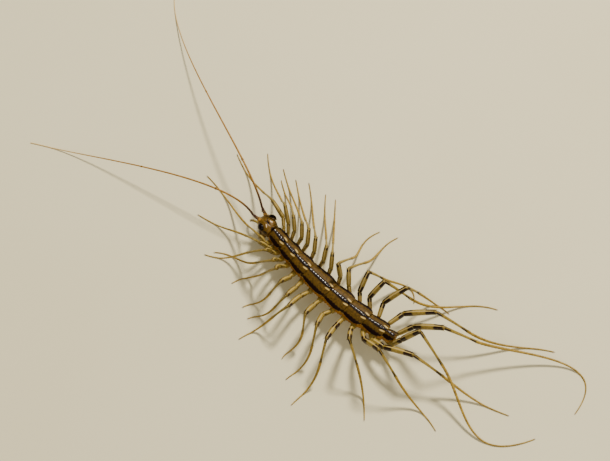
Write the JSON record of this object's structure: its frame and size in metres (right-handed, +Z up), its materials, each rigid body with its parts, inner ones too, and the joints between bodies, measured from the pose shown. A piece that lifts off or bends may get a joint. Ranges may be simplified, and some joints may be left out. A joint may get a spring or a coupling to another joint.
{
  "type": "house centipede",
  "caption": "Long-legged house centipede standing still on the floor, body bowed slightly, feelers spread ahead and hind legs trailing.",
  "frame": {"origin": "on the floor, under the middle of the whole animal's box", "axes": "+Y along the body towards the head, +Z up, +X to the animal's right"},
  "size_m": [0.0362, 0.095, 0.0087],
  "materials": {
    "back_plate_cuticle": "thin glossy shell, golden brown with dark stripes",
    "leg_cuticle": "satin olive-golden shell with dark bands",
    "head_cuticle": "glossy orange-brown shell",
    "eye_lens": "black and finely faceted",
    "feeler_cuticle": "satin reddish brown, finely ringed"
  },
  "bodies": {
    "root": {"head": "head_cuticle", "trunk_1": "back_plate_cuticle", "trunk_2": "back_plate_cuticle", "trunk_3": "back_plate_cuticle", "trunk_4": "back_plate_cuticle", "trunk_5": "back_plate_cuticle", "trunk_6": "back_plate_cuticle", "trunk_7": "back_plate_cuticle", "trunk_tail": "back_plate_cuticle", "eye_left": "eye_lens", "antenna_left": "feeler_cuticle", "poison_claw_left": "head_cuticle", "palp_left": "head_cuticle", "eye_right": "eye_lens", "antenna_right": "feeler_cuticle", "poison_claw_right": "head_cuticle", "palp_right": "head_cuticle", "leg_left_01": "leg_cuticle", "leg_left_02": "leg_cuticle", "leg_left_03": "leg_cuticle", "leg_left_04": "leg_cuticle", "leg_left_05": "leg_cuticle", "leg_left_06": "leg_cuticle", "leg_left_07": "leg_cuticle", "leg_left_08": "leg_cuticle", "leg_left_09": "leg_cuticle", "leg_left_10": "leg_cuticle", "leg_left_11": "leg_cuticle", "leg_left_12": "leg_cuticle", "leg_left_13": "leg_cuticle", "leg_left_14": "leg_cuticle", "leg_left_15": "leg_cuticle", "leg_right_01": "leg_cuticle", "leg_right_02": "leg_cuticle", "leg_right_03": "leg_cuticle", "leg_right_04": "leg_cuticle", "leg_right_05": "leg_cuticle", "leg_right_06": "leg_cuticle", "leg_right_07": "leg_cuticle", "leg_right_08": "leg_cuticle", "leg_right_09": "leg_cuticle", "leg_right_10": "leg_cuticle", "leg_right_11": "leg_cuticle", "leg_right_12": "leg_cuticle", "leg_right_13": "leg_cuticle", "leg_right_14": "leg_cuticle", "leg_right_15": "leg_cuticle"}
  },
  "joints": []
}
